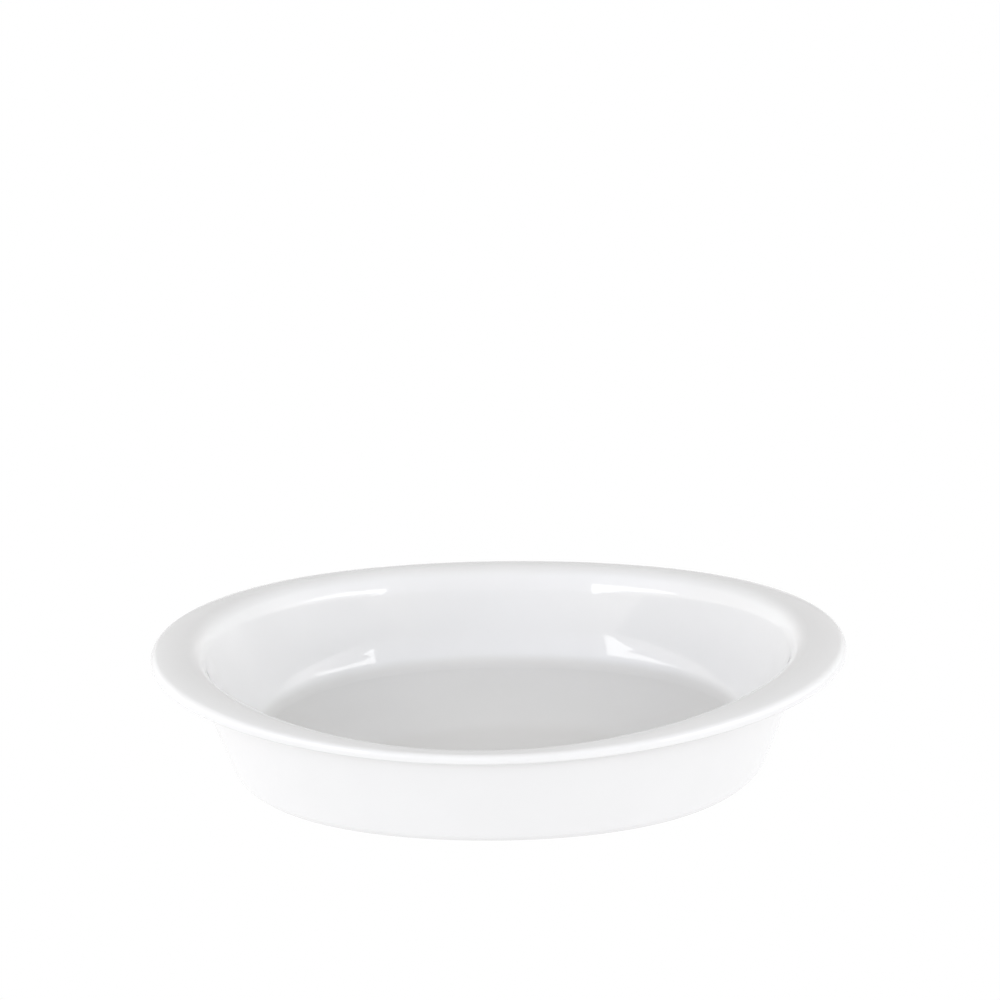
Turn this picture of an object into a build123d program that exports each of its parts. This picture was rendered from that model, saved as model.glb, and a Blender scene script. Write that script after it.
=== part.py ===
from build123d import *
import math
import os

os.makedirs("parts", exist_ok=True)

# ---------------------------------------------------------------------------
# Oval gratin dish in white glazed porcelain, standing on its foot ring.
# +X runs along the long side, +Y across, +Z up.  The origin is on the table
# under the middle of the dish.  All dimensions are millimetres.
# "end" is the section through the long axis (x-z), "side" the section through
# the short axis (y-z).  Every level of the dish is an oval between the two,
# and the levels of the rim also rise from the sides to the ends.
# ---------------------------------------------------------------------------

# overall
LENGTH = 330.0            # over the two ears of the rim
WIDTH = 246.0             # over the rim at the sides
CREST_END = 59.0          # height of the rim's crest at the ears
CREST_SIDE = 51.6         # height of the rim's crest at the sides (the rim dips)
SADDLE_FULLNESS = 0.45    # how much the raised ends spread round the oval
WALL_SQUARENESS = 0.066   # how much fuller than an ellipse the wall and base are

# rim: lip edge to crest, drop of the top towards the lip edge, inner roll
RIM_END = 16.5
RIM_SIDE = 4.3
DROP_END = 3.3
DROP_SIDE = 0.9
BROW_END = 9.8            # tight radius from the crest inwards
BROW_SIDE = 8.3
BROW_TURN = 61.0          # degrees from level where the brow runs into the shoulder
SHOULDER_END = 22.0       # slow radius below the brow
SHOULDER_SIDE = 60.0
SHOULDER_TURN = 67.5      # degrees where the shoulder ends
BEND_R = 18.0             # radius from the shoulder into the inner wall
LIP_END = 4.9             # height of the lip's outer face, corners included
LIP_SIDE = 3.5
LIP_TOP_R_END = 5.0       # upper corner of the lip
LIP_TOP_R_SIDE = 2.8
LIP_BOTTOM_R = 1.4
UNDER_R = 4.0             # hollow where the lip's underside meets the wall
UNDER_SLOPE_END = 3.0     # degrees that the underside rises towards the wall
UNDER_SLOPE_SIDE = -18.0  # at the sides it flares down into the wall

# walls and base
INNER_SLOPE_END = 70.9    # degrees from level
INNER_SLOPE_SIDE = 71.0
OUTER_SLOPE_END = 70.0
OUTER_SLOPE_SIDE = 71.8
BASE_END = 126.8          # half length where the wall line meets the table
BASE_SIDE = 104.0
BASE_R = 6.7              # rounded corner between wall and foot
HEEL_R = 60.0             # slow bend at the bottom of the inner wall
HEEL_TURN = 11.0          # degrees that it turns through
FLOOR_R = 9.3             # fillet between that bend and the floor
FLOOR_Z = 6.5             # height of the inner floor over the table

# foot ring and the shallow recess under the dish
FOOT_FLAT = 3.2           # width of the ring's standing face
RECESS = 1.5              # depth of the recess
RECESS_R = 1.0            # rounded corner of the recess's roof
BARE = 0.5                # the glaze stops this high on the foot

GLAZE = 0.35              # thickness of the fired glaze

N_OVAL = 32               # spline points round each oval level


def arc(cx, cz, r, a0, a1, n):
    """n points on a circle from angle a0 to a1, degrees."""
    return [(cx + r * math.cos(math.radians(a0 + (a1 - a0) * i / (n - 1))),
             cz + r * math.sin(math.radians(a0 + (a1 - a0) * i / (n - 1))))
            for i in range(n)]


def rounding(p0, p1, p2, r, n):
    """n points on the rounding of radius r at the corner p1."""
    u = Vector(p0[0] - p1[0], p0[1] - p1[1]).normalized()
    v = Vector(p2[0] - p1[0], p2[1] - p1[1]).normalized()
    half = math.acos(max(-1.0, min(1.0, u.dot(v)))) / 2
    d = r / math.tan(half)
    a = (p1[0] + u.X * d, p1[1] + u.Y * d)
    b = (p1[0] + v.X * d, p1[1] + v.Y * d)
    w = (u + v).normalized()
    c = (p1[0] + w.X * r / math.sin(half), p1[1] + w.Y * r / math.sin(half))
    a0 = math.degrees(math.atan2(a[1] - c[1], a[0] - c[0]))
    a1 = math.degrees(math.atan2(b[1] - c[1], b[0] - c[0]))
    a1 = a0 + ((a1 - a0 + 180.0) % 360.0 - 180.0)
    return arc(c[0], c[1], r, a0, a1, n)


def foot_arc(base, outer_slope, inset, n):
    """Rounded corner above the glaze line, at a depth of inset."""
    cx = base - BASE_R / math.tan(math.radians((180.0 - outer_slope) / 2))
    start = math.degrees(math.acos((BASE_R - BARE) / (BASE_R - inset)))
    return arc(cx, BASE_R, BASE_R - inset, -90.0 + start, outer_slope - 90.0, n)


def bare_arc(base, outer_slope, n):
    """Rounded corner from the table up to the glaze line."""
    cx = base - BASE_R / math.tan(math.radians((180.0 - outer_slope) / 2))
    stop = math.degrees(math.acos((BASE_R - BARE) / BASE_R))
    return arc(cx, BASE_R, BASE_R, -90.0, -90.0 + stop, n)


def half_section(out, crest_z, rim, drop, brow_r, shoulder_r, lip, lip_top_r,
                 under_slope, inner_slope, outer_slope, base):
    """Half section of the glazed dish, from the glaze line at the foot up the
    outside, over the rim and down the inside to the edge of the floor.
    Returns its bands: points, and how full the oval is at both ends of each."""
    so, si = math.radians(outer_slope), math.radians(inner_slope)
    us = math.radians(under_slope)
    wall = (math.cos(so), math.sin(so))
    under = (-math.cos(us), math.sin(us))
    lip_top = (out, crest_z - drop)
    lip_low = (out, crest_z - drop - lip)
    # where the lip's underside meets the line of the outer wall
    det = wall[0] * under[1] - wall[1] * under[0]
    k = (wall[0] * -lip_low[1] - wall[1] * (base - lip_low[0])) / det
    meet = (lip_low[0] + under[0] * k, lip_low[1] + under[1] * k)

    foot = foot_arc(base, outer_slope, 0.0, 8)
    hollow = rounding((base, 0.0), meet, lip_low, UNDER_R, 6)
    low = rounding(meet, lip_low, lip_top, LIP_BOTTOM_R, 7)
    # the top is a circle with its summit at the crest, out to the lip's corner
    crest_x = out - rim
    big = (rim * rim + drop * drop) / (2 * drop)
    lean = math.asin(rim / big)
    back = (lip_top[0] - math.cos(lean), lip_top[1] + math.sin(lean))
    high = rounding(lip_low, lip_top, back, lip_top_r, 7)
    x_join, z_join = high[-1]
    on_circle = crest_z - big + math.sqrt(big * big - (x_join - crest_x) ** 2)
    top = []
    for i in range(1, 8):
        x = x_join + (crest_x - x_join) * i / 8
        z = crest_z - big + math.sqrt(big * big - (x - crest_x) ** 2)
        top.append((x, z + (z_join - on_circle) * (1 - i / 8) ** 2))
    # inner roll: a tight brow, a slow shoulder, then a bend into the wall
    roll_in = arc(crest_x, crest_z - brow_r, brow_r, 90.0, 90.0 + BROW_TURN, 8)
    for r, a0, a1, n in ((shoulder_r, BROW_TURN, SHOULDER_TURN, 4),
                         (BEND_R, SHOULDER_TURN, inner_slope, 3)):
        x, z = roll_in[-1]
        t = math.radians(a0)
        roll_in += arc(x + r * math.sin(t), z - r * math.cos(t), r, 90.0 + a0, 90.0 + a1, n)[1:]
    tw = roll_in[-1]
    # bottom of the inner wall: a slow bend, then the fillet into the floor
    s1, s2 = inner_slope, inner_slope - HEEL_TURN
    c1, c2 = math.cos(math.radians(s1)), math.cos(math.radians(s2))
    n1, n2 = math.sin(math.radians(s1)), math.sin(math.radians(s2))
    z_heel = FLOOR_Z + FLOOR_R * (1 - c2) + HEEL_R * (c2 - c1)
    x_heel = tw[0] - (tw[1] - z_heel) / math.tan(si)
    heel = arc(x_heel - HEEL_R * n1, z_heel + HEEL_R * c1, HEEL_R, s1 - 90.0, s2 - 90.0, 6)
    fillet_in = arc(heel[-1][0] - FLOOR_R * n2, FLOOR_Z + FLOOR_R, FLOOR_R, s2 - 90.0, -90.0, 9)

    w = WALL_SQUARENESS
    top = [high[-1]] + top + [roll_in[0]]
    return [(foot, w, w),
            ([foot[-1], hollow[0]], w, 0.5 * w),
            (hollow, 0.5 * w, 0.5 * w),
            ([hollow[-1], low[0]], 0.5 * w, 0.0),
            (low, 0.0, 0.0),
            ([low[-1], high[0]], 0.0, 0.0),
            (high, 0.0, 0.0),
            (top, 0.0, 0.0),
            (roll_in, 0.0, 0.0),
            ([tw, heel[0]], 0.0, 0.7 * w),
            (heel, 0.7 * w, w),
            (fillet_in, w, w)]


def under_glaze(bands, base, outer_slope):
    """The same bands on the fired body, one glaze thickness deeper."""
    out = [foot_arc(base, outer_slope, GLAZE, len(bands[0][0]))]
    for points, f0, f1 in bands[1:]:
        moved = [out[-1][-1]]
        for i in range(1, len(points)):
            p, q = points[i - 1], points[i]
            if i < len(points) - 1:
                q = points[i + 1]
            elif len(points) > 2:
                # turn the last chord on by half a step to get the end tangent
                a, b, c = points[-3], points[-2], points[-1]
                t0 = math.atan2(b[1] - a[1], b[0] - a[0])
                t1 = math.atan2(c[1] - b[1], c[0] - b[0])
                turn = (t1 - t0 + math.pi) % (2 * math.pi) - math.pi
                p = c
                q = (c[0] + math.cos(t1 + turn / 2), c[1] + math.sin(t1 + turn / 2))
            dx, dz = q[0] - p[0], q[1] - p[1]
            d = math.hypot(dx, dz)
            moved.append((points[i][0] - dz / d * GLAZE, points[i][1] + dx / d * GLAZE))
        out.append(moved)
    return [(m, f0, f1) for m, (points, f0, f1) in zip(out, bands)]


def ring(a, b, z_end, z_side, full):
    """Closed spline round one level: half length a, half width b."""
    pts = []
    for i in range(N_OVAL):
        th = 2 * math.pi * i / N_OVAL
        c, s = math.cos(th), math.sin(th)
        w = c * c * (1 + SADDLE_FULLNESS * s * s)
        pts.append((a * c * (1 + full * s * s),
                    b * s * (1 + full * c * c),
                    z_end * w + z_side * (1 - w)))
    knots = [i / N_OVAL for i in range(N_OVAL + 1)]
    return Wire([Edge.make_spline(pts, periodic=True, parameters=knots)])


def rings_of(end_bands, side_bands):
    """Rings of every band; a band starts on the ring where the last one ended."""
    out = []
    for (ends, f0, f1), (sides, _, _) in zip(end_bands, side_bands):
        n = len(ends)
        band = [ring(e[0], s[0], e[1], s[1], f0 + (f1 - f0) * i / (n - 1))
                for i, (e, s) in enumerate(zip(ends, sides))]
        if out:
            band[0] = out[-1][-1]
        out.append(band)
    return out


def skin(bands):
    """Faces through the rings of the bands, straight between two rings."""
    return [f for rings in bands for f in Shell.make_loft(rings, ruled=len(rings) == 2).faces()]


def lid(outer, *holes):
    """Flat face inside a ring, with or without a hole."""
    return [Face(outer, list(holes))]


def closed(*faces):
    """Solid enclosed by the given faces."""
    return Solid(Shell([f for group in faces for f in group]))


# half sections at the end and at the side, glazed and on the fired body
end_bands = half_section(LENGTH / 2, CREST_END, RIM_END, DROP_END, BROW_END, SHOULDER_END,
                         LIP_END, LIP_TOP_R_END, UNDER_SLOPE_END, INNER_SLOPE_END,
                         OUTER_SLOPE_END, BASE_END)
side_bands = half_section(WIDTH / 2, CREST_SIDE, RIM_SIDE, DROP_SIDE, BROW_SIDE, SHOULDER_SIDE,
                          LIP_SIDE, LIP_TOP_R_SIDE, UNDER_SLOPE_SIDE, INNER_SLOPE_SIDE,
                          OUTER_SLOPE_SIDE, BASE_SIDE)
glazed = rings_of(end_bands, side_bands)
fired = rings_of(under_glaze(end_bands, BASE_END, OUTER_SLOPE_END),
                 under_glaze(side_bands, BASE_SIDE, OUTER_SLOPE_SIDE))
glaze_line, glazed_floor = glazed[0][0], glazed[-1][-1]
fired_line, fired_floor = fired[0][0], fired[-1][-1]

# bare foot: from the standing face up the rounded corner to the glaze line
foot_ends = bare_arc(BASE_END, OUTER_SLOPE_END, 5)
foot_sides = bare_arc(BASE_SIDE, OUTER_SLOPE_SIDE, 5)
foot = [ring(e[0], s[0], e[1], s[1], WALL_SQUARENESS) for e, s in zip(foot_ends, foot_sides)]
foot[-1] = glaze_line
recess_end = foot_ends[0][0] - FOOT_FLAT
recess_side = foot_sides[0][0] - FOOT_FLAT


def recess_bands(grow):
    """Recess wall and rounded corner from the glaze line to the edge of the
    roof, grown outwards and upwards by grow."""
    r = RECESS_R + grow
    levels = [(grow, BARE)] + arc(grow - r, RECESS + grow - r, r, 0.0, 90.0, 7)
    if levels[1][1] - BARE < 0.01:
        levels.pop(0)
        return [[ring(recess_end + x, recess_side + x, z, z, WALL_SQUARENESS) for x, z in levels]]
    rings = [ring(recess_end + x, recess_side + x, z, z, WALL_SQUARENESS) for x, z in levels]
    return [rings[:2], rings[1:]]


recess_in = recess_bands(0.0)
recess_out = recess_bands(GLAZE)
recess_foot = [ring(recess_end, recess_side, 0.0, 0.0, WALL_SQUARENESS), recess_in[0][0]]

# porcelain body: everything that the glaze covers, and the bare foot ring
with BuildPart() as porcelain_body:
    add(closed(skin(fired), lid(fired_floor), lid(glaze_line, fired_line),
               skin([foot]), lid(foot[0], recess_foot[0]),
               skin([recess_foot]), lid(recess_out[0][0], recess_in[0][0]),
               skin(recess_out), lid(recess_out[-1][-1])))

# glaze over the outer wall, the rim and the inside, down to the bare foot
with BuildPart() as glaze_coat:
    add(closed(skin(glazed), lid(glazed_floor), lid(glaze_line, fired_line),
               skin(fired), lid(fired_floor)))

# glaze in the recess under the dish, inside the bare foot ring
with BuildPart() as recess_glaze:
    add(closed(skin(recess_in), lid(recess_in[-1][-1]), lid(recess_out[0][0], recess_in[0][0]),
               skin(recess_out), lid(recess_out[-1][-1])))

porcelain_body.part.label = "porcelain_body"
export_step(porcelain_body.part, "parts/porcelain_body.step")

glaze_coat.part.label = "glaze_coat"
export_step(glaze_coat.part, "parts/glaze_coat.step")

recess_glaze.part.label = "recess_glaze"
export_step(recess_glaze.part, "parts/recess_glaze.step")
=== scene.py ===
import math

import bpy
import numpy as np
from mathutils import Matrix, Vector


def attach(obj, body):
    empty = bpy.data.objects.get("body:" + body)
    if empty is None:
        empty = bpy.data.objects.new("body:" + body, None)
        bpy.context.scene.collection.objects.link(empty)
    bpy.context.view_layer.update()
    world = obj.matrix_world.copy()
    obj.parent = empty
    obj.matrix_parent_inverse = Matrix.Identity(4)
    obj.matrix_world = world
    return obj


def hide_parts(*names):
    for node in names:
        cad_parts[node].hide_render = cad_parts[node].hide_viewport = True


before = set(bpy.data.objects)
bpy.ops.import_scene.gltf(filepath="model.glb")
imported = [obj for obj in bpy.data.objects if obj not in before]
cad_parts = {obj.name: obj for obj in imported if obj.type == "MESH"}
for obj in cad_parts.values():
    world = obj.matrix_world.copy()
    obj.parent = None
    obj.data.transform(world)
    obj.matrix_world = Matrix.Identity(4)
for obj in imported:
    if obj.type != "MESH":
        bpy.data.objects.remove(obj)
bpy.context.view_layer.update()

# ---------------------------------------------------------------------------
# The dish, in millimetres, as in the solid model.  "end" is the half section
# through the long axis, "side" the half section through the short axis.
# ---------------------------------------------------------------------------
LENGTH, WIDTH = 330.0, 246.0
CREST_END, CREST_SIDE = 59.0, 51.6
SADDLE_FULLNESS = 0.45
WALL_SQUARENESS = 0.066
RIM_END, RIM_SIDE = 16.5, 4.3
DROP_END, DROP_SIDE = 3.3, 0.9
BROW_END, BROW_SIDE, BROW_TURN = 9.8, 8.3, 61.0
SHOULDER_END, SHOULDER_SIDE, SHOULDER_TURN = 22.0, 60.0, 67.5
BEND_R = 18.0
LIP_END, LIP_SIDE = 4.9, 3.5
LIP_TOP_R_END, LIP_TOP_R_SIDE, LIP_BOTTOM_R = 5.0, 2.8, 1.4
UNDER_R, UNDER_SLOPE_END, UNDER_SLOPE_SIDE = 4.0, 3.0, -18.0
INNER_SLOPE_END, INNER_SLOPE_SIDE = 70.9, 71.0
OUTER_SLOPE_END, OUTER_SLOPE_SIDE = 70.0, 71.8
BASE_END, BASE_SIDE, BASE_R = 126.8, 104.0, 6.7
HEEL_R, HEEL_TURN = 60.0, 11.0
FLOOR_R, FLOOR_Z = 9.3, 6.5
FOOT_FLAT, RECESS, RECESS_R, BARE = 3.2, 1.5, 1.0, 0.5
GLAZE = 0.35

COLUMNS = 512


def arc(cx, cz, r, a0, a1, n):
    return [(cx + r * math.cos(math.radians(a0 + (a1 - a0) * i / (n - 1))),
             cz + r * math.sin(math.radians(a0 + (a1 - a0) * i / (n - 1))))
            for i in range(n)]


def rounding(p0, p1, p2, r, n):
    u = Vector((p0[0] - p1[0], p0[1] - p1[1])).normalized()
    v = Vector((p2[0] - p1[0], p2[1] - p1[1])).normalized()
    half = math.acos(max(-1.0, min(1.0, u.dot(v)))) / 2
    d = r / math.tan(half)
    a = Vector(p1) + u * d
    b = Vector(p1) + v * d
    c = Vector(p1) + (u + v).normalized() * r / math.sin(half)
    a0 = math.degrees(math.atan2(a.y - c.y, a.x - c.x))
    a1 = math.degrees(math.atan2(b.y - c.y, b.x - c.x))
    a1 = a0 + ((a1 - a0 + 180.0) % 360.0 - 180.0)
    return arc(c.x, c.y, r, a0, a1, n)


def foot_arc(base, outer_slope, inset, n):
    cx = base - BASE_R / math.tan(math.radians((180.0 - outer_slope) / 2))
    start = math.degrees(math.acos((BASE_R - BARE) / (BASE_R - inset)))
    return arc(cx, BASE_R, BASE_R - inset, -90.0 + start, outer_slope - 90.0, n)


def bare_arc(base, outer_slope, n):
    cx = base - BASE_R / math.tan(math.radians((180.0 - outer_slope) / 2))
    stop = math.degrees(math.acos((BASE_R - BARE) / BASE_R))
    return arc(cx, BASE_R, BASE_R, -90.0, -90.0 + stop, n)


def straight(p, q, n):
    return [(p[0] + (q[0] - p[0]) * i / (n - 1), p[1] + (q[1] - p[1]) * i / (n - 1))
            for i in range(n)]


def half_section(out, crest_z, rim, drop, brow_r, shoulder_r, lip, lip_top_r,
                 under_slope, inner_slope, outer_slope, base):
    """Bands of the glazed half section, from the glaze line at the foot up the
    outside, over the rim and down the inside to the edge of the floor."""
    so, si = math.radians(outer_slope), math.radians(inner_slope)
    us = math.radians(under_slope)
    wall = (math.cos(so), math.sin(so))
    under = (-math.cos(us), math.sin(us))
    lip_top = (out, crest_z - drop)
    lip_low = (out, crest_z - drop - lip)
    det = wall[0] * under[1] - wall[1] * under[0]
    k = (wall[0] * -lip_low[1] - wall[1] * (base - lip_low[0])) / det
    meet = (lip_low[0] + under[0] * k, lip_low[1] + under[1] * k)

    foot = foot_arc(base, outer_slope, 0.0, 14)
    hollow = rounding((base, 0.0), meet, lip_low, UNDER_R, 14)
    low = rounding(meet, lip_low, lip_top, LIP_BOTTOM_R, 12)
    crest_x = out - rim
    big = (rim * rim + drop * drop) / (2 * drop)
    lean = math.asin(rim / big)
    back = (lip_top[0] - math.cos(lean), lip_top[1] + math.sin(lean))
    high = rounding(lip_low, lip_top, back, lip_top_r, 12)
    x_join, z_join = high[-1]
    on_circle = crest_z - big + math.sqrt(big * big - (x_join - crest_x) ** 2)
    top = [high[-1]]
    for i in range(1, 15):
        x = x_join + (crest_x - x_join) * i / 15
        z = crest_z - big + math.sqrt(big * big - (x - crest_x) ** 2)
        top.append((x, z + (z_join - on_circle) * (1 - i / 15) ** 2))
    roll_in = arc(crest_x, crest_z - brow_r, brow_r, 90.0, 90.0 + BROW_TURN, 18)
    for r, a0, a1, n in ((shoulder_r, BROW_TURN, SHOULDER_TURN, 10),
                         (BEND_R, SHOULDER_TURN, inner_slope, 8)):
        x, z = roll_in[-1]
        t = math.radians(a0)
        roll_in += arc(x + r * math.sin(t), z - r * math.cos(t), r, 90.0 + a0, 90.0 + a1, n)[1:]
    top.append(roll_in[0])
    tw = roll_in[-1]
    s1, s2 = inner_slope, inner_slope - HEEL_TURN
    c1, c2 = math.cos(math.radians(s1)), math.cos(math.radians(s2))
    n1, n2 = math.sin(math.radians(s1)), math.sin(math.radians(s2))
    z_heel = FLOOR_Z + FLOOR_R * (1 - c2) + HEEL_R * (c2 - c1)
    x_heel = tw[0] - (tw[1] - z_heel) / math.tan(si)
    heel = arc(x_heel - HEEL_R * n1, z_heel + HEEL_R * c1, HEEL_R, s1 - 90.0, s2 - 90.0, 14)
    fillet_in = arc(heel[-1][0] - FLOOR_R * n2, FLOOR_Z + FLOOR_R, FLOOR_R, s2 - 90.0, -90.0, 20)
    w = WALL_SQUARENESS
    return [(foot, w, w),
            (straight(foot[-1], hollow[0], 24), w, 0.5 * w),
            (hollow, 0.5 * w, 0.5 * w),
            (straight(hollow[-1], low[0], 8), 0.5 * w, 0.0),
            (low, 0.0, 0.0),
            (straight(low[-1], high[0], 4), 0.0, 0.0),
            (high, 0.0, 0.0),
            (top, 0.0, 0.0),
            (roll_in, 0.0, 0.0),
            (straight(tw, heel[0], 20), 0.0, 0.7 * w),
            (heel, 0.7 * w, w),
            (fillet_in, w, w)]


end_bands = half_section(LENGTH / 2, CREST_END, RIM_END, DROP_END, BROW_END, SHOULDER_END,
                         LIP_END, LIP_TOP_R_END, UNDER_SLOPE_END, INNER_SLOPE_END,
                         OUTER_SLOPE_END, BASE_END)
side_bands = half_section(WIDTH / 2, CREST_SIDE, RIM_SIDE, DROP_SIDE, BROW_SIDE, SHOULDER_SIDE,
                          LIP_SIDE, LIP_TOP_R_SIDE, UNDER_SLOPE_SIDE, INNER_SLOPE_SIDE,
                          OUTER_SLOPE_SIDE, BASE_SIDE)


def stations(ends, sides):
    """Rows (half length, half width, z at the end, z at the side, fullness)."""
    rows = []
    for (e, f0, f1), (s, _, _) in zip(ends, sides):
        n = len(e)
        for i in range(n):
            if rows and i == 0:
                continue
            rows.append((e[i][0], s[i][0], e[i][1], s[i][1], f0 + (f1 - f0) * i / (n - 1)))
    return rows


def ring(row, columns=COLUMNS):
    """One oval level as an array of points, in metres."""
    a, b, ze, zs, full = row
    th = 2 * np.pi * np.arange(columns) / columns
    c, s = np.cos(th), np.sin(th)
    w = c * c * (1 + SADDLE_FULLNESS * s * s)
    return np.stack([a * c * (1 + full * s * s), b * s * (1 + full * c * c),
                     ze * w + zs * (1 - w)], 1) / 1000.0


def inset_rows(rows, depth):
    """The same rows moved depth below the surface, all but the first."""
    out = []
    for i, (a, b, ze, zs, full) in enumerate(rows):
        j, k = max(i - 1, 0), min(i + 1, len(rows) - 1)
        de = (rows[k][0] - rows[j][0], rows[k][2] - rows[j][2])
        ds = (rows[k][1] - rows[j][1], rows[k][3] - rows[j][3])
        ne, ns = math.hypot(*de), math.hypot(*ds)
        if i == 0:
            out.append((a - depth, b - depth, ze, zs, full))
        elif i == len(rows) - 1:
            out.append((a, b, ze - depth, zs - depth, full))
        else:
            out.append((a - de[1] / ne * depth, b - ds[1] / ns * depth,
                        ze + de[0] / ne * depth, zs + ds[0] / ns * depth, full))
    return out


def floor_rows(row, steps):
    """Rows that shrink the last oval towards the middle."""
    a, b, ze, zs, full = row
    out = []
    for i in range(1, steps):
        t = 1.0 - i / steps
        out.append((a * t, b * t, ze, zs, full * t))
    return out


def skin(name, runs, caps):
    """Mesh of quad strips through runs of rows; caps closes a run's last ring
    with a fan at the given height.  Faces point to the left of the run."""
    verts, faces = [], []
    for rows, cap, flip in zip(runs, caps[0], caps[1]):
        start = len(verts)
        for row in rows:
            verts.extend(map(tuple, ring(row)))
        n = COLUMNS
        for r in range(len(rows) - 1):
            for c in range(n):
                d = (c + 1) % n
                quad = (start + r * n + c, start + r * n + d,
                        start + (r + 1) * n + d, start + (r + 1) * n + c)
                faces.append(quad[::-1] if flip else quad)
        if cap is not None:
            verts.append((0.0, 0.0, cap / 1000.0))
            mid = len(verts) - 1
            last = start + (len(rows) - 1) * n
            for c in range(n):
                tri = (last + c, last + (c + 1) % n, mid)
                faces.append(tri[::-1] if flip else tri)
    mesh = bpy.data.meshes.new(name)
    mesh.from_pydata(verts, [], faces)
    mesh.validate()
    mesh.polygons.foreach_set("use_smooth", [True] * len(mesh.polygons))
    obj = bpy.data.objects.new(name, mesh)
    bpy.context.scene.collection.objects.link(obj)
    weld = obj.modifiers.new("weld", "WELD")
    weld.merge_threshold = 0.000001
    bpy.context.view_layer.objects.active = obj
    for o in bpy.context.selected_objects:
        o.select_set(False)
    obj.select_set(True)
    bpy.ops.object.modifier_apply(modifier=weld.name)
    return obj


outside = stations(end_bands, side_bands)
core = inset_rows(outside, GLAZE)
floor_in = floor_rows(outside[-1], 40)
core_floor = floor_rows(core[-1], 6)

# glaze: the outer skin, the fired face under it, and the step at the glaze line
glaze = skin("glaze", [outside + floor_in, core + core_floor, [core[0], outside[0]]],
             ([FLOOR_Z, FLOOR_Z - GLAZE, None], [False, True, False]))

# bare foot ring and the porcelain under the glaze
foot_ends = bare_arc(BASE_END, OUTER_SLOPE_END, 8)
foot_sides = bare_arc(BASE_SIDE, OUTER_SLOPE_SIDE, 8)
foot_rows = [(e[0], s[0], e[1], s[1], WALL_SQUARENESS) for e, s in zip(foot_ends, foot_sides)]
rec_e, rec_s = foot_ends[0][0] - FOOT_FLAT, foot_sides[0][0] - FOOT_FLAT


def recess_rows(grow, n):
    r = RECESS_R + grow
    levels = [(grow, BARE)] + arc(grow - r, RECESS + grow - r, r, 0.0, 90.0, n)[(1 if grow == 0 else 0):]
    return [(rec_e + x, rec_s + x, z, z, WALL_SQUARENESS) for x, z in levels]


flat_ring = [(rec_e, rec_s, 0.0, 0.0, WALL_SQUARENESS),
             (rec_e + 0.5 * FOOT_FLAT, rec_s + 0.5 * FOOT_FLAT, 0.0, 0.0, WALL_SQUARENESS)] + foot_rows
recess_side_rows = [(rec_e, rec_s, z, z, WALL_SQUARENESS) for z in (0.0, 0.5 * BARE, BARE)]
raw_recess = recess_rows(GLAZE, 10)
recess = recess_rows(0.0, 10)
bare = skin("porcelain",
            [flat_ring + core + core_floor,
             recess_side_rows + raw_recess + floor_rows(raw_recess[-1], 8)],
            ([FLOOR_Z - GLAZE, RECESS + GLAZE], [False, True]))
under = skin("recess_glaze_skin",
             [recess + floor_rows(recess[-1], 20),
              [recess[0]] + raw_recess + floor_rows(raw_recess[-1], 8)],
             ([RECESS, RECESS + GLAZE], [True, False]))

# ---------------------------------------------------------------------------
# Materials
# ---------------------------------------------------------------------------


def node_material(name):
    mat = bpy.data.materials.new(name)
    mat.use_nodes = True
    tree = mat.node_tree
    return mat, tree, tree.nodes["Principled BSDF"]


def noise(tree, coord, scale, detail, rough=0.5):
    n = tree.nodes.new("ShaderNodeTexNoise")
    n.inputs["Scale"].default_value = scale
    n.inputs["Detail"].default_value = detail
    n.inputs["Roughness"].default_value = rough
    tree.links.new(coord, n.inputs["Vector"])
    return n.outputs["Fac"]


def span(tree, value, lo, hi, out_lo, out_hi, smooth=True):
    """Value mapped from lo..hi to out_lo..out_hi, clamped."""
    n = tree.nodes.new("ShaderNodeMapRange")
    n.interpolation_type = "SMOOTHSTEP" if smooth else "LINEAR"
    for k, v in zip(("From Min", "From Max", "To Min", "To Max"), (lo, hi, out_lo, out_hi)):
        n.inputs[k].default_value = v
    tree.links.new(value, n.inputs["Value"])
    return n.outputs["Result"]


def blend(tree, fac, a, b):
    """Colour between a and b by fac; each is a colour or an output."""
    n = tree.nodes.new("ShaderNodeMix")
    n.data_type = "RGBA"
    for socket, v in ((n.inputs[6], a), (n.inputs[7], b)):
        if isinstance(v, tuple):
            socket.default_value = v + (1.0,)
        else:
            tree.links.new(v, socket)
    tree.links.new(fac, n.inputs[0])
    return n.outputs[2]


def bump(tree, height, distance, strength, under=None):
    n = tree.nodes.new("ShaderNodeBump")
    n.inputs["Distance"].default_value = distance
    n.inputs["Strength"].default_value = strength
    tree.links.new(height, n.inputs["Height"])
    if under is not None:
        tree.links.new(under, n.inputs["Normal"])
    return n.outputs["Normal"]


def pinholes(tree, coord, scale, radius, share):
    """1 in small round dots, in some of the cells only."""
    cells = tree.nodes.new("ShaderNodeTexVoronoi")
    cells.inputs["Scale"].default_value = scale
    tree.links.new(coord, cells.inputs["Vector"])
    dot = span(tree, cells.outputs["Distance"], radius * 0.5, radius, 1.0, 0.0)
    pick = tree.nodes.new("ShaderNodeSeparateColor")
    tree.links.new(cells.outputs["Color"], pick.inputs[0])
    some = span(tree, pick.outputs[0], share, share + 0.02, 1.0, 0.0)
    both = tree.nodes.new("ShaderNodeMath")
    both.operation = "MULTIPLY"
    tree.links.new(dot, both.inputs[0])
    tree.links.new(some, both.inputs[1])
    return both.outputs[0]


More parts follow.
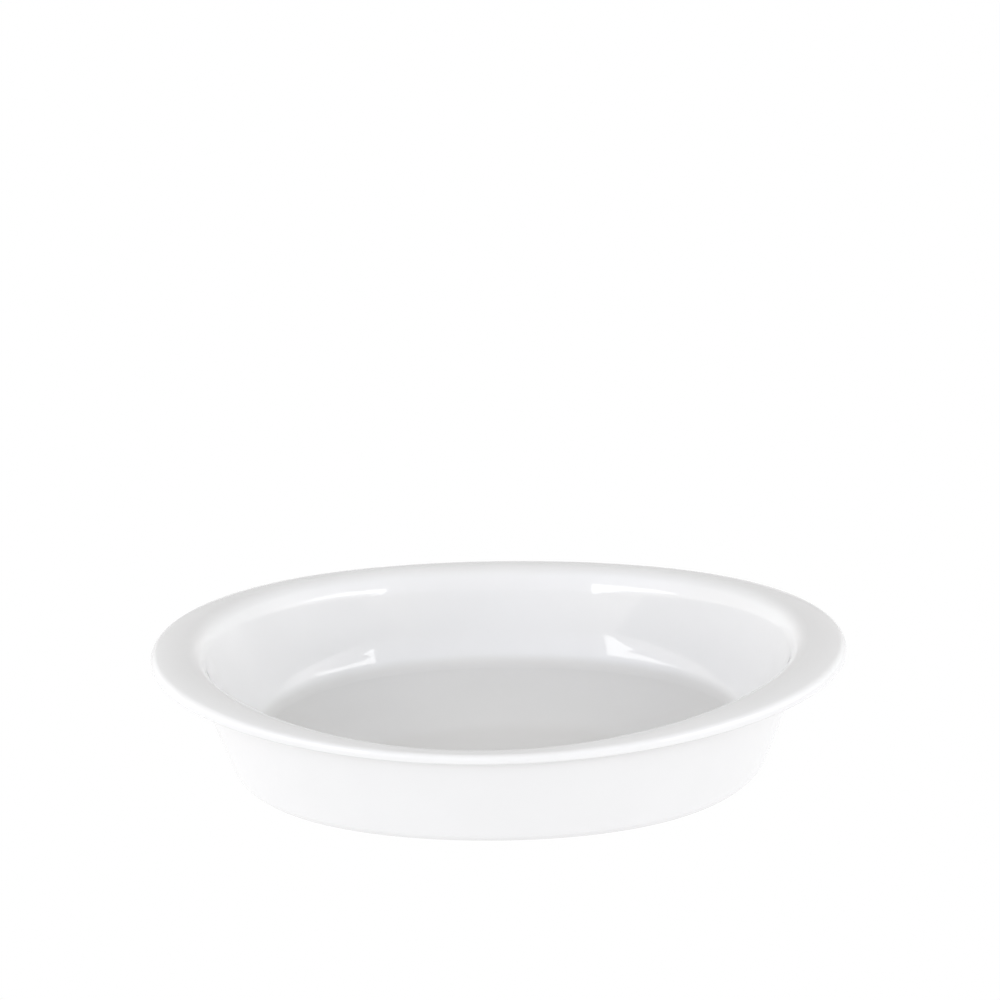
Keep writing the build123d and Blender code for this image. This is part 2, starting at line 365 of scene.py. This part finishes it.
def glazed():
    """Clear gloss over white: slow waves, fine orange peel, a few pinholes, and
    painted shade: the dish's floor and the foot of its inner wall toned darker and cooler."""
    mat, tree, bsdf = node_material("white_glaze")
    bsdf.inputs["IOR"].default_value = 1.5
    coord = tree.nodes.new("ShaderNodeTexCoord").outputs["Object"]
    cloud = span(tree, noise(tree, coord, 22.0, 3.0), 0.35, 0.65, 0.0, 1.0)
    tone = blend(tree, cloud, GLAZE_TONE, tuple(v * 0.985 for v in GLAZE_TONE))
    height = tree.nodes.new("ShaderNodeSeparateXYZ")
    tree.links.new(coord, height.inputs[0])
    # painted shade: the dish's floor and the foot of its inner wall go darker and cooler, fading out by 12.5
    # mm up; only inside the dish, which starts at the floor's level and within the base's outline
    painted_floor_shade = span(tree, height.outputs[2], 0.0072, 0.0125, 0.35, 0.0)
    plan = tree.nodes.new("ShaderNodeVectorMath")
    plan.operation = "MULTIPLY"
    plan.inputs[1].default_value = (1 / 0.1268, 1 / 0.1040, 0.0)
    tree.links.new(height.inputs[0].links[0].from_socket, plan.inputs[0])
    reach = tree.nodes.new("ShaderNodeVectorMath")
    reach.operation = "LENGTH"
    tree.links.new(plan.outputs[0], reach.inputs[0])
    for limit in (span(tree, reach.outputs["Value"], 0.995, 1.015, 1.0, 0.0),
                  span(tree, height.outputs[2], 0.0054, 0.0062, 0.0, 1.0)):
        both = tree.nodes.new("ShaderNodeMath")
        both.operation = "MULTIPLY"
        tree.links.new(painted_floor_shade, both.inputs[0])
        tree.links.new(limit, both.inputs[1])
        painted_floor_shade = both.outputs[0]
    # the darker, cooler colour of the painted shade on the dish's floor
    tone = blend(tree, painted_floor_shade, tone, (GLAZE_TONE[0] * 0.87, GLAZE_TONE[1] * 0.86, GLAZE_TONE[2] * 0.84))
    holes = pinholes(tree, coord, 70.0, 0.012, 0.25)
    tone = blend(tree, span(tree, holes, 0.0, 1.0, 0.0, 0.35), tone, (0.55, 0.53, 0.50))
    tree.links.new(tone, bsdf.inputs["Base Color"])
    tree.links.new(span(tree, noise(tree, coord, 60.0, 4.0), 0.3, 0.7, 0.025, 0.060), bsdf.inputs["Roughness"])
    waves = bump(tree, noise(tree, coord, 30.0, 1.0), 0.00010, 0.6)
    peel = bump(tree, noise(tree, coord, 420.0, 2.0), 0.000004, 0.5, waves)
    dips = bump(tree, span(tree, holes, 0.0, 1.0, 1.0, 0.0), 0.00006, 1.0, peel)
    tree.links.new(dips, bsdf.inputs["Normal"])
    return mat


def bisque():
    """Bare fired porcelain: fine grain, and grey rub marks where it stands."""
    mat, tree, bsdf = node_material("bare_porcelain")
    coord = tree.nodes.new("ShaderNodeTexCoord").outputs["Object"]
    grain = noise(tree, coord, 1500.0, 4.0, 0.65)
    patch = noise(tree, coord, 55.0, 3.0)
    tone = blend(tree, span(tree, grain, 0.35, 0.65, 0.0, 1.0), (0.80, 0.785, 0.75), (0.72, 0.70, 0.655))
    tone = blend(tree, span(tree, patch, 0.45, 0.72, 0.0, 0.6), tone, (0.66, 0.635, 0.585))
    height = tree.nodes.new("ShaderNodeSeparateXYZ")
    tree.links.new(coord, height.inputs[0])
    foot = span(tree, height.outputs[2], 0.00002, 0.00025, 1.0, 0.0)
    rub = tree.nodes.new("ShaderNodeMath")
    rub.operation = "MULTIPLY"
    tree.links.new(foot, rub.inputs[0])
    tree.links.new(span(tree, noise(tree, coord, 260.0, 5.0, 0.7), 0.52, 0.66, 0.0, 0.55), rub.inputs[1])
    tone = blend(tree, rub.outputs[0], tone, (0.43, 0.42, 0.41))
    tree.links.new(tone, bsdf.inputs["Base Color"])
    tree.links.new(span(tree, patch, 0.3, 0.7, 0.60, 0.80), bsdf.inputs["Roughness"])
    tree.links.new(bump(tree, grain, 0.00004, 0.7), bsdf.inputs["Normal"])
    return mat


GLAZE_TONE = (0.760, 0.761, 0.765)
white_glaze = glazed()
bare_porcelain = bisque()
for obj, mat in ((glaze, white_glaze), (bare, bare_porcelain), (under, white_glaze)):
    obj.data.materials.clear()
    obj.data.materials.append(mat)

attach(glaze, "root")
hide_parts("glaze_coat")
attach(bare, "root")
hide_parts("porcelain_body")
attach(under, "root")
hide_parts("recess_glaze")

# ---------------------------------------------------------------------------
# Floor, light and camera
# ---------------------------------------------------------------------------
mesh = bpy.data.meshes.new("floor")
R = 6.0
mesh.from_pydata([(-R, 1 - R, 0), (R, 1 - R, 0), (R, 1 + R, 0), (-R, 1 + R, 0)], [], [(0, 1, 2, 3)])
floor = bpy.data.objects.new("floor", mesh)
bpy.context.scene.collection.objects.link(floor)
mat = bpy.data.materials.new("white_floor")
mat.use_nodes = True
tree = mat.node_tree
tree.nodes.clear()
out = tree.nodes.new("ShaderNodeOutputMaterial")
emit = tree.nodes.new("ShaderNodeEmission")
emit.inputs["Color"].default_value = (1, 1, 1, 1)
emit.inputs["Strength"].default_value = 1.0
# lit on its upper side only, so that the foot ring can be seen from below
side = tree.nodes.new("ShaderNodeNewGeometry")
clear = tree.nodes.new("ShaderNodeBsdfTransparent")
either = tree.nodes.new("ShaderNodeMixShader")
tree.links.new(side.outputs["Backfacing"], either.inputs[0])
tree.links.new(emit.outputs[0], either.inputs[1])
tree.links.new(clear.outputs[0], either.inputs[2])
tree.links.new(either.outputs[0], out.inputs[0])
floor.data.materials.append(mat)



def aim(az, el):
    """Direction from the dish: az from the camera's side (-Y) to the right, el up."""
    a, e = math.radians(az), math.radians(el)
    return Vector((math.sin(a) * math.cos(e), -math.cos(a) * math.cos(e), math.sin(e)))


def softbox(name, corners, strength, distance=5.0):
    """Flat lit panel whose corners lie in the given directions."""
    mid = sum((aim(*c) for c in corners), Vector()) / len(corners)
    mid.normalize()
    pts = []
    for c in corners:
        d = aim(*c)
        pts.append(d * (distance / d.dot(mid)))
    panel = bpy.data.meshes.new(name)
    panel.from_pydata([tuple(p) for p in pts], [], [tuple(range(len(pts)))])
    obj = bpy.data.objects.new(name, panel)
    bpy.context.scene.collection.objects.link(obj)
    m = bpy.data.materials.new(name)
    m.use_nodes = True
    m.node_tree.nodes.clear()
    o = m.node_tree.nodes.new("ShaderNodeOutputMaterial")
    e = m.node_tree.nodes.new("ShaderNodeEmission")
    e.inputs["Strength"].default_value = strength
    m.node_tree.links.new(e.outputs[0], o.inputs[0])
    panel.materials.append(m)
    obj.visible_camera = False
    obj.visible_shadow = False
    return obj


softboxes = [
    softbox("softbox_left", [(-31, 11.2), (-33.5, 12.0), (-36.8, 15.8), (-42.8, 19.0), (-40.2, 23.2),
                             (-46, 22.2), (-59, 22.3), (-70, 21.2), (-65, 24.2), (-60, 26.0),
                             (-50, 27.5), (-40, 29.2), (-33.4, 30.0)], 5.9),
    softbox("softbox_right", [(41.5, 14.8), (47, 17.0), (43.3, 22.3), (50, 23.8), (58, 23.0),
                              (68, 20.8), (79, 17.6), (77.5, 24.0), (71, 28.0), (62, 30.5),
                              (53, 30.8), (42, 31.0)], 5.5),
]

# studio walls: a few broad patches of light (direction, colour) round the dish
LOBES = [
    (0, 12, (0.00, 0.06, 0.00)),
    (0, 32, (0.72, 0.64, 0.80)),
    (0, 55, (0.25, 0.33, 0.12)),
    (40, 12, (0.37, 0.32, 0.17)),
    (45, 32, (0.66, 0.72, 0.92)),
    (60, 55, (0.05, 0.06, 0.04)),
    (80, 12, (2.46, 2.33, 2.36)),
    (90, 32, (0.17, 0.23, 0.23)),
    (120, 12, (0.86, 0.91, 0.90)),
    (142, 0, (0.70, 0.70, 0.70)),
    (160, 12, (0.61, 0.59, 0.60)),
    (180, 55, (0.17, 0.16, 0.11)),
    (200, 12, (0.31, 0.30, 0.30)),
    (218, 0, (0.55, 0.55, 0.55)),
    (240, 12, (1.45, 1.48, 1.48)),
    (280, 12, (1.77, 1.72, 1.62)),
    (300, 55, (0.05, 0.06, 0.06)),
    (315, 32, (0.97, 1.06, 1.39)),
    (320, 12, (1.08, 0.98, 0.79)),
    (0, 90, (0.12, 0.02, 0.00)),
]
LOBE_POWER = 8.0
world = bpy.data.worlds.new("studio")
bpy.context.scene.world = world
world.use_nodes = True
tree = world.node_tree
tree.nodes.clear()
out = tree.nodes.new("ShaderNodeOutputWorld")
back = tree.nodes.new("ShaderNodeBackground")
tree.links.new(back.outputs[0], out.inputs[0])
coord = tree.nodes.new("ShaderNodeTexCoord")
unit = tree.nodes.new("ShaderNodeVectorMath")
unit.operation = "NORMALIZE"
tree.links.new(coord.outputs["Generated"], unit.inputs[0])
total = None
for az, el, rgb in LOBES:
    dot = tree.nodes.new("ShaderNodeVectorMath")
    dot.operation = "DOT_PRODUCT"
    dot.inputs[1].default_value = aim(az, el)
    tree.links.new(unit.outputs[0], dot.inputs[0])
    clip = tree.nodes.new("ShaderNodeMath")
    clip.operation = "MAXIMUM"
    clip.inputs[1].default_value = 0.0
    tree.links.new(dot.outputs["Value"], clip.inputs[0])
    power = tree.nodes.new("ShaderNodeMath")
    power.operation = "POWER"
    power.inputs[1].default_value = LOBE_POWER
    tree.links.new(clip.outputs[0], power.inputs[0])
    tint = tree.nodes.new("ShaderNodeVectorMath")
    tint.operation = "SCALE"
    tint.inputs[0].default_value = rgb
    tree.links.new(power.outputs[0], tint.inputs["Scale"])
    if total is None:
        total = tint
    else:
        add = tree.nodes.new("ShaderNodeVectorMath")
        add.operation = "ADD"
        tree.links.new(total.outputs[0], add.inputs[0])
        tree.links.new(tint.outputs[0], add.inputs[1])
        total = add
tree.links.new(total.outputs[0], back.inputs["Color"])

# camera from the fit to the dish's outline and rim
YAW, EL, ROLL = math.radians(-5.398), math.radians(19.598), math.radians(2.062)
K, CU, CV, SCALE = 0.192, 498.595, 693.332, 2.102
fwd = np.array([math.sin(YAW) * math.cos(EL), math.cos(YAW) * math.cos(EL), -math.sin(EL)])
right = np.array([math.cos(YAW), -math.sin(YAW), 0.0])
down = np.cross(fwd, right)
r2 = right * math.cos(ROLL) + down * math.sin(ROLL)
d2 = -right * math.sin(ROLL) + down * math.cos(ROLL)
cam_rows = np.array([r2, d2, fwd])
tz = 330.0 / K
focal = SCALE * tz
t = np.array([(CU - 500.0) / focal * tz, (CV - 500.0) / focal * tz, tz]) - cam_rows @ np.array([0, 0, 30.0])
pos = -cam_rows.T @ t / 1000.0
cam_data = bpy.data.cameras.new("camera")
cam_data.sensor_width = 36.0
cam_data.sensor_fit = "HORIZONTAL"
cam_data.lens = focal / 1000.0 * 36.0
cam_data.clip_end = 50.0
cam = bpy.data.objects.new("camera", cam_data)
bpy.context.scene.collection.objects.link(cam)
m = Matrix.Identity(4)
for i in range(3):
    m[i][0], m[i][1], m[i][2], m[i][3] = r2[i], -d2[i], -fwd[i], pos[i]
cam.matrix_world = m
bpy.context.scene.camera = cam

scene = bpy.context.scene
scene.view_settings.view_transform = "Standard"
scene.view_settings.look = "None"
scene.view_settings.exposure = 0.0
scene.view_settings.gamma = 1.0

bpy.context.view_layer.update()
